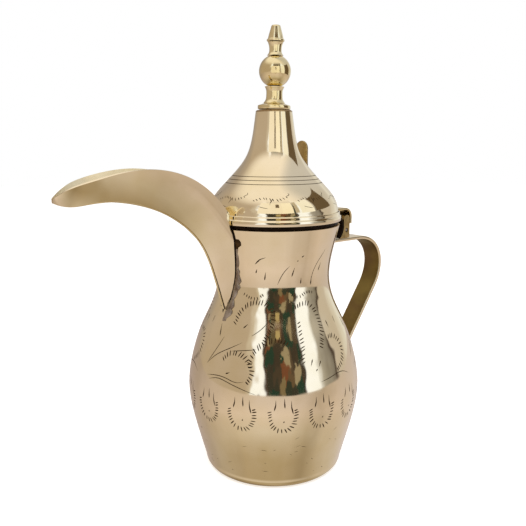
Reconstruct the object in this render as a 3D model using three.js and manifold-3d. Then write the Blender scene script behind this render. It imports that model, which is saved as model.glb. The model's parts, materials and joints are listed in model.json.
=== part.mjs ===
// Dallah coffee pot: a turned brass pot with an open crescent spout, a flat strap handle and a hinged, domed lid.
// Millimetres, +Z up. The origin is the middle of the flat base. The spout points to -X and the handle to +X.
import * as THREE from "three";
import { mergeVertices } from "three/addons/utils/BufferGeometryUtils.js";
import Module from "manifold-3d";

const wasm = await Module();
wasm.setup();

// ---------------------------------------------------------------- driving dimensions
const GAP = 0.3; // clearance kept between pieces that touch
const ROUND = 40; // facets round the pot and the lid
const SMALL_ROUND = 20; // facets round the finial pieces
const SHEET = 1.0; // thickness of the raised sheet of the pot, lid and spout

const POT = {
  footRadius: 46.7, // outside of the wall just above the rounded base corner
  cornerRadius: 6.2,
  bellyRadius: 57.8,
  bellyHeight: 59,
  neckRadius: 37.2,
  neckHeight: 130,
  rimRadius: 43.4,
  rimHeight: 165.2,
  lipRadius: 40.6, // inside of the rolled lip
  lipDepth: 1.8,
  seamHeight: 111.5, // the neck is brazed to the belly here, just under the spout
};
const BASE = { discRadius: 38, thickness: 1.4 };
const STRAINER = { holeRadius: 1.5, rows: [[126, 1], [134, 1], [142, 2], [150, 2], [158, 3]], pitch: 4.8 };
const SPOUT = { halfWidth: 9, tipTaper: 24, beadRadius: 0.6, solderRadius: 1.0 };
const HANDLE = { width: 15, thickness: 2.35, topHeight: 149.0, tabLength: 13, footHeight: 48 };
const HINGE = {
  pinX: 64,
  pinZ: 156,
  pinRadius: 1.25,
  earThickness: 2.2,
  earTop: 166.8,
  plateThickness: 1.4,
};
const LID = {
  flangeRadius: 44.2,
  flangeBottom: 168.2,
  flangeTop: 173.9,
  plugRadius: 38.8,
  plugBottom: 161.2,
  seamHeight: 196.9, // the cone is brazed to the dome here, in the highest of the turned rings
  top: 238,
};
const STRAP = { thickness: 1.4, width: 15, tongueWidth: 9.8, leafWidth: 10.6, leafX: 25.4, leafTop: 219 };
const FINIAL = {
  collarBottom: 238.3,
  ballRadius: 10.1,
  ballHeight: 262.1,
  top: 290,
  boreRadius: 2.3,
  lean: THREE.MathUtils.degToRad(1.2), // hand-fitted, it leans a little
  leanTowards: THREE.MathUtils.degToRad(-42), // from +X, about Z
};
const ROD = { radius: 2, bottom: 229.5, top: 285.4 };

// ---------------------------------------------------------------- materials
const metal = (color, roughness) => new THREE.MeshStandardMaterial({ color, roughness, metalness: 1 });
const BRASS = metal(0xd9bf85, 0.16);
const CAST_BRASS = metal(0xb89a5e, 0.45);
const DARK_BRASS = metal(0x3a2a18, 0.6);
const SOLDER = metal(0x8f8a82, 0.55);
const STEEL = metal(0x9a9a98, 0.35);

// ---------------------------------------------------------------- geometry helpers
const point = (x, y) => new THREE.Vector2(x, y);
const object = new THREE.Group();

function add(name, geometry, material, group = object) {
  const mesh = new THREE.Mesh(geometry, material);
  mesh.name = name;
  group.add(mesh);
  return mesh;
}

// A closed profile of (radius, height) points, turned about Z. The outside runs upwards.
function turned(profile, facets = ROUND) {
  const closed = profile[0].x === 0 ? profile : [...profile, profile[0].clone()];
  return new THREE.LatheGeometry(closed, facets).rotateX(Math.PI / 2);
}

// A shape drawn in the XZ plane, as thick as width and centred on Y = middle.
function sideways(shape, width, middle = 0) {
  const options = { depth: width, bevelEnabled: false, curveSegments: 10 };
  return new THREE.ExtrudeGeometry(shape, options).rotateX(Math.PI / 2).translate(0, middle + width / 2, 0);
}

// A shape drawn in the YZ plane, from X = from to X = to.
function lengthways(shape, from, to) {
  const yzx = new THREE.Matrix4().makeBasis(
    new THREE.Vector3(0, 1, 0),
    new THREE.Vector3(0, 0, 1),
    new THREE.Vector3(1, 0, 0),
  );
  const geometry = new THREE.ExtrudeGeometry(shape, { depth: to - from, bevelEnabled: false, curveSegments: 10 });
  return geometry.applyMatrix4(yzx).translate(from, 0, 0);
}

// The unit normal on the left of a line of points at one of them.
function leftNormal(points, i) {
  const before = points[Math.max(i - 1, 0)];
  const after = points[Math.min(i + 1, points.length - 1)];
  const along = after.clone().sub(before).normalize();
  return point(-along.y, along.x);
}

const offset = (points, distance) =>
  points.map((p, i) => p.clone().addScaledVector(leftNormal(points, i), distance));

// The outline of a strip of sheet bent along a line of points.
const strip = (points, thickness) =>
  new THREE.Shape([...offset(points, thickness / 2), ...offset(points, -thickness / 2).reverse()]);

function solid(geometry) {
  const bare = geometry.clone();
  bare.deleteAttribute("normal");
  bare.deleteAttribute("uv");
  const merged = mergeVertices(bare, 1e-3);
  const triVerts = new Uint32Array(merged.index.array);
  const vertProperties = merged.attributes.position.array;
  return new wasm.Manifold(new wasm.Mesh({ numProp: 3, vertProperties, triVerts }));
}

function geometryOf(manifold) {
  const { vertProperties, triVerts } = manifold.getMesh();
  const geometry = new THREE.BufferGeometry();
  geometry.setAttribute("position", new THREE.BufferAttribute(new Float32Array(vertProperties), 3));
  geometry.setIndex(new THREE.BufferAttribute(new Uint32Array(triVerts), 1));
  geometry.computeVertexNormals();
  return geometry;
}

const cut = (geometry, ...cutters) =>
  geometryOf(cutters.reduce((whole, cutter) => whole.subtract(solid(cutter)), solid(geometry)));
const common = (a, b) => geometryOf(solid(a).intersect(solid(b)));

// ---------------------------------------------------------------- pot body
const potCurve = new THREE.SplineCurve([
  point(POT.footRadius, POT.cornerRadius),
  point(50.3, 19),
  point(55.0, 37),
  point(POT.bellyRadius, POT.bellyHeight),
  point(54.8, 78),
  point(47.8, 99),
  point(41.3, 113),
  point(POT.neckRadius, POT.neckHeight),
  point(38.8, 146),
  point(POT.rimRadius, POT.rimHeight),
]);
const potOutside = potCurve.getPoints(20);

// The outer radius of a line of (radius, height) points at a height.
function radiusAt(points, height) {
  const above = points.findIndex((p) => p.y >= height);
  if (above < 0) return points.at(-1).x;
  if (above === 0) return points[0].x;
  const [low, high] = [points[above - 1], points[above]];
  return THREE.MathUtils.mapLinear(height, low.y, high.y, low.x, high.x);
}
const potRadius = (height) => radiusAt(potOutside, height);

// Inside of the pot's wall, from the mouth down.
const potInside = offset(potCurve.getPoints(12), SHEET)
  .filter((p) => p.y > POT.cornerRadius + 1 && p.y < POT.rimHeight - 4)
  .reverse();
const seam = { below: POT.seamHeight - GAP / 2, above: POT.seamHeight + GAP / 2 };
const wallEdge = (height) => [point(potRadius(height), height), point(potRadius(height) - SHEET - 0.1, height)];

function bellyShell() {
  const flat = POT.footRadius - POT.cornerRadius;
  const corner = (radius) => {
    const arc = new THREE.Path();
    arc.absarc(flat, POT.cornerRadius, radius, -Math.PI / 2, 0);
    return arc.getPoints(4);
  };
  const ringInside = BASE.discRadius + GAP;
  return turned([
    point(ringInside, 0),
    ...corner(POT.cornerRadius).slice(0, -1),
    ...potOutside.filter((p) => p.y < seam.below - 1),
    ...wallEdge(seam.below),
    ...potInside.filter((p) => p.y < seam.below - 1),
    ...corner(POT.cornerRadius - BASE.thickness).reverse(),
    point(ringInside, BASE.thickness),
  ]);
}
add("belly_shell", bellyShell(), BRASS);

function neckShell() {
  const lipBottom = POT.rimHeight - POT.lipDepth;
  const profile = [
    ...wallEdge(seam.above).reverse(),
    ...potOutside.filter((p) => p.y > seam.above + 1),
    point(POT.rimRadius - SHEET, POT.rimHeight + 0.2),
    point(POT.lipRadius, POT.rimHeight),
    point(POT.lipRadius, lipBottom),
    point(POT.rimRadius - 1.6, lipBottom - 1),
    ...potInside.filter((p) => p.y > seam.above + 1),
  ];
  const holes = STRAINER.rows.flatMap(([height, count]) =>
    Array.from({ length: count }, (_, i) =>
      new THREE.CylinderGeometry(STRAINER.holeRadius, STRAINER.holeRadius, 12, 10)
        .rotateZ(Math.PI / 2)
        .translate(-potRadius(height), (i - (count - 1) / 2) * STRAINER.pitch, height),
    ),
  );
  return cut(turned(profile), ...holes);
}
add("neck_shell", neckShell(), BRASS);

add(
  "base_disc",
  turned([point(0, 0), point(BASE.discRadius, 0), point(BASE.discRadius, BASE.thickness), point(0, BASE.thickness)]),
  BRASS,
);

function baseSolderRing() {
  const floor = BASE.thickness + GAP;
  const middle = BASE.discRadius + GAP / 2;
  return turned([
    point(middle - 1.6, floor),
    point(middle + 1.6, floor),
    point(middle + 0.5, floor + 0.9),
    point(middle - 0.7, floor + 0.7),
  ]);
}
add("base_solder_ring", baseSolderRing(), SOLDER);

// ---------------------------------------------------------------- spout
// Each crescent plate is a bent sheet between the keel, the top edge and the seam on the neck.
// Curves run from the tip of the spout to the pot; x is the distance from the pot's axis.
const keel = new THREE.SplineCurve([
  point(149.8, 187.3),
  point(145, 185.6),
  point(129, 186.6),
  point(107, 185.8),
  point(82.5, 177.6),
  point(57.9, 157.0),
  point(47.3, 131.6),
  point(41.9, 113.6),
]);
const topEdge = new THREE.SplineCurve([
  point(150, 189.4),
  point(145.5, 192.8),
  point(130, 198.9),
  point(104, 203.2),
  point(86, 202),
  point(70.5, 197),
  point(54, 184.8),
  point(46.2, 175.5),
]);

// Half the spout's width where it meets the neck, at a height.
const seamHalfWidth = (height) =>
  THREE.MathUtils.mapLinear(Math.min(height, 158), 113, 158, 0.6, SPOUT.halfWidth - 0.4);

function seamPoint(height) {
  const y = seamHalfWidth(height);
  const clearLid = THREE.MathUtils.smoothstep(height, POT.rimHeight - 3, LID.flangeBottom);
  const radius = potRadius(height) + GAP + clearLid * (LID.flangeRadius + 0.9 - POT.rimRadius);
  return new THREE.Vector3(-Math.sqrt(radius * radius - y * y), -y, height);
}

// A point of the near plate's inner face: s runs from tip to neck and v from keel to top edge.
function spoutPoint(s, v) {
  const low = keel.getPointAt(s);
  const high = topEdge.getPointAt(s);
  const fullness = Math.sin(Math.min(1, (keel.points[0].x - high.x) / SPOUT.tipTaper) * (Math.PI / 2));
  const keelY = GAP / 2;
  const edgeY = Math.max(keelY + 0.2, SPOUT.halfWidth * fullness);
  const ruled = new THREE.Vector3(-low.x, -keelY, low.y).lerp(new THREE.Vector3(-high.x, -edgeY, high.y), v);
  const keelEnd = keel.getPointAt(1);
  const edgeEnd = topEdge.getPointAt(1);
  const straightEnd = new THREE.Vector3(-keelEnd.x, -keelY, keelEnd.y).lerp(
    new THREE.Vector3(-edgeEnd.x, -SPOUT.halfWidth, edgeEnd.y),
    v,
  );
  const onSeam = seamPoint(THREE.MathUtils.lerp(keelEnd.y, edgeEnd.y, v));
  return ruled.addScaledVector(onSeam.sub(straightEnd), s ** 5);
}

function spoutNormal(s, v) {
  const step = 0.01;
  const [s0, s1] = [Math.max(s - step, 0), Math.min(s + step, 1)];
  const [v0, v1] = [Math.max(v - step, 0), Math.min(v + step, 1)];
  const alongS = spoutPoint(s1, v).sub(spoutPoint(s0, v));
  const alongV = spoutPoint(s, v1).sub(spoutPoint(s, v0));
  return alongS.cross(alongV).normalize();
}

function spoutPlate() {
  const geometry = new THREE.BoxGeometry(1, 1, 1, 20, 4, 1);
  const place = geometry.attributes.position;
  for (let i = 0; i < place.count; i++) {
    const s = place.getX(i) + 0.5;
    const v = place.getY(i) + 0.5;
    const outward = (place.getZ(i) + 0.5) * SHEET;
    const at = spoutPoint(s, v).addScaledVector(spoutNormal(s, v), outward);
    place.setXYZ(i, at.x, at.y, at.z);
  }
  return geometry;
}
add("spout_near_plate", spoutPlate(), BRASS);
add("spout_far_plate", spoutPlate(), BRASS).scale.y = -1;

// A round bead along a line of 3D points.
function bead(points, radius, steps) {
  const shape = new THREE.Shape();
  shape.absarc(0, 0, radius, 0, 2 * Math.PI);
  const extrudePath = new THREE.CatmullRomCurve3(points);
  return new THREE.ExtrudeGeometry(shape, { steps, extrudePath, curveSegments: 4 });
}

function keelBead() {
  const below = SPOUT.beadRadius + GAP + 0.15;
  const line = keel.getSpacedPoints(14).slice(1, -1);
  const lowered = offset(line, below);
  return bead(lowered.map((p) => new THREE.Vector3(-p.x, 0, p.y)), SPOUT.beadRadius, 18);
}
add("spout_keel_braze", keelBead(), CAST_BRASS);

function neckSolder() {
  const aside = SHEET + GAP + SPOUT.solderRadius + 0.2;
  const out = GAP + SPOUT.solderRadius;
  const heights = [118, 126, 134, 142, 150, 158];
  return bead(
    heights.map((height) => {
      const y = seamHalfWidth(height) + aside;
      const radius = potRadius(height) + out;
      return new THREE.Vector3(-Math.sqrt(radius * radius - y * y), -y, height);
    }),
    SPOUT.solderRadius,
    12,
  );
}
add("spout_solder_near", neckSolder(), SOLDER);
add("spout_solder_far", neckSolder(), SOLDER).scale.y = -1;

// ---------------------------------------------------------------- handle
function handlePath() {
  const half = HANDLE.thickness / 2;
  const top = HANDLE.topHeight;
  const tabX = (height) => potRadius(height) + GAP + half;
  const tabBottom = top - HANDLE.tabLength;
  const line = new THREE.Path();
  line.moveTo(tabX(tabBottom) + 0.2, tabBottom);
  line.lineTo(tabX(top - 4) + 0.3, top - 4);
  line.quadraticCurveTo(tabX(top) + 0.3, top, 45, top);
  line.lineTo(79, top);
  line.bezierCurveTo(99.5, top, 111.6, 130.2, 97, 109.9);
  line.lineTo(66, 67);
  line.quadraticCurveTo(59.8, 58.4, 59.4, HANDLE.footHeight);
  return line.getPoints(12);
}
add("handle_strap", sideways(strip(handlePath(), HANDLE.thickness), HANDLE.width), BRASS);

// A fillet of solder under the end of one of the handle's tabs.
function tabSolder(height) {
  const x = potRadius(height) + GAP;
  const shape = new THREE.Shape([point(x, height - 3), point(x + 2.2, height), point(x + 0.1, height)]);
  return sideways(shape, HANDLE.width - 3);
}
add("handle_top_solder", tabSolder(HANDLE.topHeight - HANDLE.tabLength - GAP - 0.4), SOLDER);
add("handle_foot_solder", tabSolder(HANDLE.footHeight - GAP), SOLDER);

// ---------------------------------------------------------------- hinge
const hingeFloor = HANDLE.topHeight + HANDLE.thickness / 2 + GAP;

function platePath() {
  const line = new THREE.Path();
  line.moveTo(56.4, hingeFloor + 0.4);
  line.quadraticCurveTo(62.4, 157, 58.6, 163.6);
  return line.getPoints(8);
}
add("hinge_back_plate", sideways(strip(platePath(), HINGE.plateThickness), HANDLE.width), BRASS);

function hingeEar(middle) {
  const front = offset(platePath(), -(HINGE.plateThickness / 2 + GAP + 0.1)).filter((p) => p.y < 162);
  const tip = { x: 64.1, radius: 2.9 };
  const shape = new THREE.Shape([point(67, hingeFloor), point(67, HINGE.earTop - tip.radius)]);
  shape.absarc(tip.x, HINGE.earTop - tip.radius, tip.radius, 0, Math.PI);
  front.reverse().forEach((p) => shape.lineTo(p.x, Math.max(p.y, hingeFloor)));
  const hole = new THREE.Path();
  hole.absarc(HINGE.pinX, HINGE.pinZ, HINGE.pinRadius + GAP, 0, 2 * Math.PI);
  shape.holes.push(hole);
  return sideways(shape, HINGE.earThickness, middle);
}
const earMiddle = (HANDLE.width - HINGE.earThickness) / 2;
add("hinge_ear_near", hingeEar(-earMiddle), CAST_BRASS);
add("hinge_ear_far", hingeEar(earMiddle), CAST_BRASS);

const pin = new THREE.CylinderGeometry(HINGE.pinRadius, HINGE.pinRadius, HANDLE.width - 0.4, 20);
add("hinge_pin", pin, STEEL).position.set(HINGE.pinX, 0, HINGE.pinZ);

// ---------------------------------------------------------------- lid
const lidCurve = new THREE.SplineCurve([
  point(42.3, 170.6),
  point(42.2, 174),
  point(40.6, 180.5),
  point(33.7, 190),
  point(24.4, 200),
  point(17.7, 209.5),
  point(14.3, 220),
  point(12.5, 231.5),
  point(11.8, LID.top - 1.2),
]);
const lidOutside = lidCurve.getPoints(16);
const lidInside = offset(lidCurve.getPoints(14), SHEET).reverse();

const RIVETS = [
  { name: "lid_strap_rivet_lower", height: 181 },
  { name: "lid_strap_rivet_upper", height: 191 },
];
const RIVET = { shank: 1.2, head: 2.5, headHeight: 1.1 };

// Where a rivet passes through the back of the lid, and its tilt about Y.
function rivetPlace(height) {
  const near = (h) => point(radiusAt(lidOutside, h), h);
  const along = near(height + 1).sub(near(height - 1)).normalize();
  return { at: near(height), tilt: Math.atan2(along.y, -along.x) };
}

function rivetHole(height, radius) {
  const { at, tilt } = rivetPlace(height);
  return new THREE.CylinderGeometry(radius, radius, 9, 12)
    .rotateX(Math.PI / 2)
    .rotateY(tilt)
    .translate(at.x, 0, at.y);
}
const rivetHoles = RIVETS.map((rivet) => rivetHole(rivet.height, RIVET.shank + GAP));

// The edge of the lid's sheet at a height, outside first.
function lidEdge(height) {
  const radius = radiusAt(lidOutside, height);
  return [point(radius, height), point(radius - SHEET * 1.35, height)];
}

function lidDome() {
  const top = LID.seamHeight - GAP / 2;
  const profile = [
    ...lidOutside.filter((p) => p.y < top - 1),
    ...lidEdge(top),
    ...lidInside.filter((p) => p.y < top - 1),
  ];
  return cut(turned(profile), ...rivetHoles);
}
add("lid_dome", lidDome(), BRASS);

function lidCone() {
  const bottom = LID.seamHeight + GAP / 2;
  const bore = FINIAL.boreRadius;
  const inside = lidInside.filter((p) => p.y > bottom + 1);
  return turned([
    ...lidEdge(bottom).reverse(),
    ...lidOutside.filter((p) => p.y > bottom + 1),
    point(10.9, LID.top),
    point(bore, LID.top),
    point(bore, LID.top - SHEET),
    point(inside[0].x - 0.5, LID.top - SHEET),
    ...inside,
  ]);
}
add("lid_cone", lidCone(), BRASS);

function flangeBand() {
  const { flangeRadius: radius, flangeBottom: bottom, flangeTop: top } = LID;
  const seat = lidOutside[0].x + GAP;
  const ledge = lidOutside[0].y - GAP;
  return turned([
    point(40.8, bottom),
    point(radius - 0.4, bottom),
    point(radius, bottom + 0.5),
    point(radius, bottom + 3.1),
    point(radius - 0.9, bottom + 3.8),
    point(radius - 0.9, top - 0.4),
    point(seat + 0.3, top),
    point(seat, top - 0.2),
    point(seat, ledge),
    point(40.8, ledge),
  ]);
}
add("lid_flange_band", flangeBand(), BRASS);

function plugRing() {
  const shoulder = { bottom: POT.rimHeight + 0.2 + GAP, top: LID.flangeBottom - GAP, radius: 42.2 };
  return turned([
    point(LID.plugRadius - 1, LID.plugBottom),
    point(LID.plugRadius, LID.plugBottom),
    point(LID.plugRadius, shoulder.bottom),
    point(shoulder.radius, shoulder.bottom),
    point(shoulder.radius, shoulder.top),
    point(LID.plugRadius - 1, shoulder.top),
  ]);
}
add("lid_plug_ring", plugRing(), DARK_BRASS);

// The strap starts as the thumb leaf, runs down the back of the lid, arches over the ears and curls round the pin.
function lidStrapPath() {
  const clear = STRAP.thickness / 2 + GAP;
  const line = new THREE.Path();
  line.moveTo(STRAP.leafX, STRAP.leafTop);
  line.lineTo(STRAP.leafX, 205);
  const down = offset(lidOutside, -clear)
    .filter((p) => p.y > 177 && p.y < 199)
    .reverse();
  line.quadraticCurveTo(STRAP.leafX + 0.2, 200.6, down[0].x, down[0].y);
  down.forEach((p) => line.lineTo(p.x, p.y));
  const arch = { x: 62.7, z: 165.2, radius: 6 };
  line.quadraticCurveTo(45.4, arch.z + arch.radius + 0.6, 50, arch.z + arch.radius);
  line.absarc(arch.x, arch.z, arch.radius, Math.PI / 2, 0, true);
  line.lineTo(arch.x + arch.radius, HINGE.pinZ + 5.3);
  const knuckle = HINGE.pinRadius + GAP + STRAP.thickness / 2;
  line.bezierCurveTo(68.2, 159, HINGE.pinX + knuckle, 159, HINGE.pinX + knuckle, HINGE.pinZ);
  line.absarc(HINGE.pinX, HINGE.pinZ, knuckle, 0, -1.42 * Math.PI, true);
  return line.getPoints(10).filter((p, i, all) => i === 0 || p.distanceTo(all[i - 1]) > 0.05);
}

// The strap's outline seen along X: a narrow tongue at the pin, then full width, then a taper to the round leaf.
function lidStrapFront() {
  const tongueTop = HINGE.pinZ + 4.6;
  const [tongue, full, leaf] = [STRAP.tongueWidth / 2, STRAP.width / 2, STRAP.leafWidth / 2];
  const right = [point(tongue, 150), point(tongue, tongueTop), point(full, tongueTop), point(full, 176)];
  const shape = new THREE.Shape(right);
  shape.lineTo(leaf, 203);
  shape.lineTo(leaf, STRAP.leafTop - leaf);
  shape.absarc(0, STRAP.leafTop - leaf, leaf, 0, Math.PI);
  shape.lineTo(-leaf, 203);
  right.reverse().forEach((p) => shape.lineTo(-p.x, p.y));
  return shape;
}

function lidStrap() {
  const bent = sideways(strip(lidStrapPath(), STRAP.thickness), STRAP.width + 1);
  const trimmed = common(bent, lengthways(lidStrapFront(), 10, 80));
  return cut(trimmed, ...rivetHoles);
}
add("lid_strap", lidStrap(), CAST_BRASS);

// A rivet along Y of its own frame, its outer head at +Y.
function rivetGeometry() {
  const { shank, head, headHeight } = RIVET;
  const outer = STRAP.thickness + 2 * GAP;
  const inner = -SHEET - 2 * GAP;
  const profile = [
    point(0, inner - headHeight * 0.7),
    point(head * 0.8, inner - 0.3),
    point(head * 0.8, inner),
    point(shank, inner),
    point(shank, outer),
    point(head, outer),
    point(head * 0.8, outer + headHeight * 0.7),
    point(0, outer + headHeight),
  ];
  return new THREE.LatheGeometry(profile, 16);
}
for (const { name, height } of RIVETS) {
  const { at, tilt } = rivetPlace(height);
  const rivet = add(name, rivetGeometry(), BRASS);
  rivet.position.set(at.x, 0, at.y);
  rivet.rotation.set(0, tilt, 0);
  rivet.rotateX(Math.PI / 2);
}

// ---------------------------------------------------------------- finial
// The finial and its fixings lean together about the middle of the lid's top.
const finial = new THREE.Group();
finial.position.z = -LID.top;
const finialTilt = new THREE.Group();
const leanAxis = new THREE.Vector3(-Math.sin(FINIAL.leanTowards), Math.cos(FINIAL.leanTowards), 0);
finialTilt.position.z = LID.top;
finialTilt.setRotationFromAxisAngle(leanAxis, FINIAL.lean);
finialTilt.add(finial);
object.add(finialTilt);

// Each finial piece has a bore for the rod. Its profile is the outside only, from bottom to top.
function bored(outside) {
  const bore = FINIAL.boreRadius;
  const profile = [point(bore, outside[0].y), ...outside, point(bore, outside.at(-1).y)];
  return turned(profile, SMALL_ROUND);
}

const collarTop = FINIAL.collarBottom + 3.6;
add(
  "finial_collar",
  bored([
    point(9.8, FINIAL.collarBottom),
    point(10.5, FINIAL.collarBottom + 0.8),
    point(10.5, FINIAL.collarBottom + 2.2),
    point(9.2, collarTop - 0.5),
    point(7.4, collarTop),
  ]),
  BRASS,
  finial,
);

const ballHalf = Math.sqrt(FINIAL.ballRadius ** 2 - 4.2 ** 2);
const stemTop = FINIAL.ballHeight - ballHalf - GAP;
function finialStem() {
  const bottom = collarTop + GAP;
  const outside = new THREE.SplineCurve([
    point(6.9, bottom),
    point(5.6, bottom + 2.2),
    point(5.2, (bottom + stemTop) / 2),
    point(5.4, stemTop - 2),
    point(6.2, stemTop),
  ]);
  return bored(outside.getPoints(6));
}
add("finial_stem", finialStem(), BRASS, finial);

// The ball is a hollow shell, open at both poles for the rod.
function finialBall() {
  const arc = (radius, opening, count) => {
    const start = Math.asin(opening / radius);
    return Array.from({ length: count + 1 }, (_, i) => {
      const angle = THREE.MathUtils.lerp(start, Math.PI - start, i / count);
      return point(radius * Math.sin(angle), FINIAL.ballHeight - radius * Math.cos(angle));
    });
  };
  const inside = arc(FINIAL.ballRadius - 1.3, FINIAL.boreRadius, 6).reverse();
  const outside = arc(FINIAL.ballRadius, 4.2, 12);
  const [low, high] = [outside[0].y, outside.at(-1).y];
  const bore = FINIAL.boreRadius;
  return turned([point(bore, low), ...outside, point(bore, high), ...inside], SMALL_ROUND);
}
add("finial_ball", finialBall(), BRASS, finial);

const neckBottom = FINIAL.ballHeight + ballHalf + GAP;
const neckTop = FINIAL.top - 10.4;
function finialNeck() {
  const outside = new THREE.SplineCurve([
    point(5.2, neckBottom),
    point(4.1, neckBottom + 1.8),
    point(3.9, (neckBottom + neckTop) / 2),
    point(4.4, neckTop - 1.2),
    point(4.9, neckTop),
  ]);
  return bored(outside.getPoints(6));
}
add("finial_neck", finialNeck(), BRASS, finial);

function finialTip() {
  const bottom = neckTop + GAP;
  const bore = FINIAL.boreRadius;
  const boreEnd = ROD.top + GAP;
  const profile = [
    point(0, boreEnd),
    point(bore, boreEnd),
    point(bore, bottom),
    point(4.6, bottom),
    point(5.6, bottom + 0.8),
    point(5.5, bottom + 1.3),
    point(4.8, bottom + 2.4),
    point(4.3, bottom + 4.4),
    point(3.3, FINIAL.top - 2.2),
    point(2.8, FINIAL.top - 0.4),
    point(2.2, FINIAL.top),
    point(0, FINIAL.top),
  ];
  return turned(profile, SMALL_ROUND);
}
add("finial_tip", finialTip(), BRASS, finial);

const rodLength = ROD.top - ROD.bottom;
const rod = new THREE.CylinderGeometry(ROD.radius, ROD.radius, rodLength, 16).rotateX(Math.PI / 2);
add("finial_rod", rod, STEEL, finial).position.z = ROD.bottom + rodLength / 2;

function flatRing(outer, thickness, facets) {
  const shape = new THREE.Shape();
  shape.absarc(0, 0, outer, 0, 2 * Math.PI);
  const hole = new THREE.Path();
  hole.absarc(0, 0, FINIAL.boreRadius, 0, 2 * Math.PI);
  shape.holes.push(hole);
  return new THREE.ExtrudeGeometry(shape, { depth: thickness, bevelEnabled: false, curveSegments: facets });
}
const washerTop = LID.top - SHEET - GAP;
add("finial_washer", flatRing(7, 1, 12), STEEL, finial).position.z = washerTop - 1;
add("finial_nut", flatRing(4.6, 3.6, 6), STEEL, finial).position.z = washerTop - 1 - GAP - 3.6;

export default object;
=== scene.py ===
import json
import math
import random

import bmesh
import bpy
import numpy as np
from mathutils import Matrix, Vector

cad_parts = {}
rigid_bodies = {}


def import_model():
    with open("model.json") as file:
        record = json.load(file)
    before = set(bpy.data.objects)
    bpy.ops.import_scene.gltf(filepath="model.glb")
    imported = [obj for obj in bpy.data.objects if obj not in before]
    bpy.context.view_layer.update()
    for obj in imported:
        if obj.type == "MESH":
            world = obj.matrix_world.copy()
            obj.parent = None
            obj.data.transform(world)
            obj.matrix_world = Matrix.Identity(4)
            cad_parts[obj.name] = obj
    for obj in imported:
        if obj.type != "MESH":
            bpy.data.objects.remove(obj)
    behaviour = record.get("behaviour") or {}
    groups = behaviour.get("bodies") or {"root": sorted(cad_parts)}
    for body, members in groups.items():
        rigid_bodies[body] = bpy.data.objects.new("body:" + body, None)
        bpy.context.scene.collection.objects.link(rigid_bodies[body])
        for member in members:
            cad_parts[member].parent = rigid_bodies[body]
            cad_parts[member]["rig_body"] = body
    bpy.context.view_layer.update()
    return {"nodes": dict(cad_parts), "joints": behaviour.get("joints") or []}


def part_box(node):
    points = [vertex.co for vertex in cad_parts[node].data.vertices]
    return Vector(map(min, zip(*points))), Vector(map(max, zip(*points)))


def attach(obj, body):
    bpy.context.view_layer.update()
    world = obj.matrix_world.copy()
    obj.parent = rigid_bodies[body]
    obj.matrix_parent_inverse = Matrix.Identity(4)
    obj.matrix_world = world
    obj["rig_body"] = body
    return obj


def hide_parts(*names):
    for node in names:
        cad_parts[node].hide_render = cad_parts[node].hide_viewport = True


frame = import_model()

MM = 0.001
SHEET = 1.0  # thickness of the raised sheet
GAP = 0.3  # clearance between neighbouring pieces
AROUND = 256  # facets round the pot and the lid
SMALL_AROUND = 96  # facets round the finial
dice = random.Random(7)


def low(node, axis):
    """The lowest coordinate of a CAD node along an axis, in millimetres."""
    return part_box(node)[0][axis] / MM


def high(node, axis):
    """The highest coordinate of a CAD node along an axis, in millimetres."""
    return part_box(node)[1][axis] / MM


X, Y, Z = range(3)
POT_SHELLS = ["belly_shell", "neck_shell"]
LID_SHELLS = ["lid_dome", "lid_cone"]
HINGE = [v / MM for v in frame["joints"][0]["pos_m"]]
RIM_HEIGHT = high("neck_shell", Z) - 0.2
RIM_RADIUS = high("neck_shell", X)
BELLY_RADIUS = high("belly_shell", X)
BASE_RADIUS = high("base_disc", X)
BASE_THICKNESS = high("base_disc", Z)
FLANGE_RADIUS = high("lid_flange_band", X)
FLANGE_BOTTOM = low("lid_flange_band", Z)
FLANGE_TOP = high("lid_flange_band", Z)
LID_TOP = max(high(node, Z) for node in LID_SHELLS)
STRAP_WIDTH = high("handle_strap", Y) * 2
TIP_TOP = 290.0


# ---- lines
def travelled(points):
    """How far along a line each of its points lies."""
    return np.concatenate([[0], np.cumsum(np.linalg.norm(np.diff(points, axis=0), axis=1))])


def unit(vectors):
    """The rows, each scaled to length 1."""
    return vectors / np.linalg.norm(vectors, axis=1)[:, None]


def left_of(points):
    """The direction to the left of a flat line, at each of its points."""
    d = unit(np.gradient(points, axis=0))
    return np.stack([-d[:, 1], d[:, 0]], axis=1)


def smooth_line(points, count):
    """Evenly spaced points on a twice-smooth line through the given ones."""
    p = np.array(points, float)
    t = travelled(p)
    h = np.diff(t)
    n = len(p)
    system = np.eye(n)
    bend = np.zeros_like(p)
    for i in range(1, n - 1):
        system[i, i - 1 : i + 2] = h[i - 1], 2 * (h[i - 1] + h[i]), h[i]
        bend[i] = 6 * ((p[i + 1] - p[i]) / h[i] - (p[i] - p[i - 1]) / h[i - 1])
    m = np.linalg.solve(system, bend)
    oversampling = 8
    fine = np.linspace(0, t[-1], count * oversampling)
    k = np.clip(np.searchsorted(t, fine, side="right") - 1, 0, n - 2)
    a = ((t[k + 1] - fine) / h[k])[:, None]
    b = 1 - a
    line = a * p[k] + b * p[k + 1]
    line += ((a**3 - a) * m[k] + (b**3 - b) * m[k + 1]) * (h[k] ** 2)[:, None] / 6
    return respaced(line, count)


def respaced(points, count):
    """The same line with evenly spaced points."""
    p = np.array(points, float)
    t = travelled(p)
    even = np.linspace(0, t[-1], count)
    return np.stack([np.interp(even, t, p[:, i]) for i in range(p.shape[1])], axis=1)


def arc(x, z, radius, start, end, count):
    """Points on a circle, from one angle to another in degrees."""
    angles = np.radians(np.linspace(start, end, count))
    return [(x + radius * math.cos(a), z + radius * math.sin(a)) for a in angles]


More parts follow.
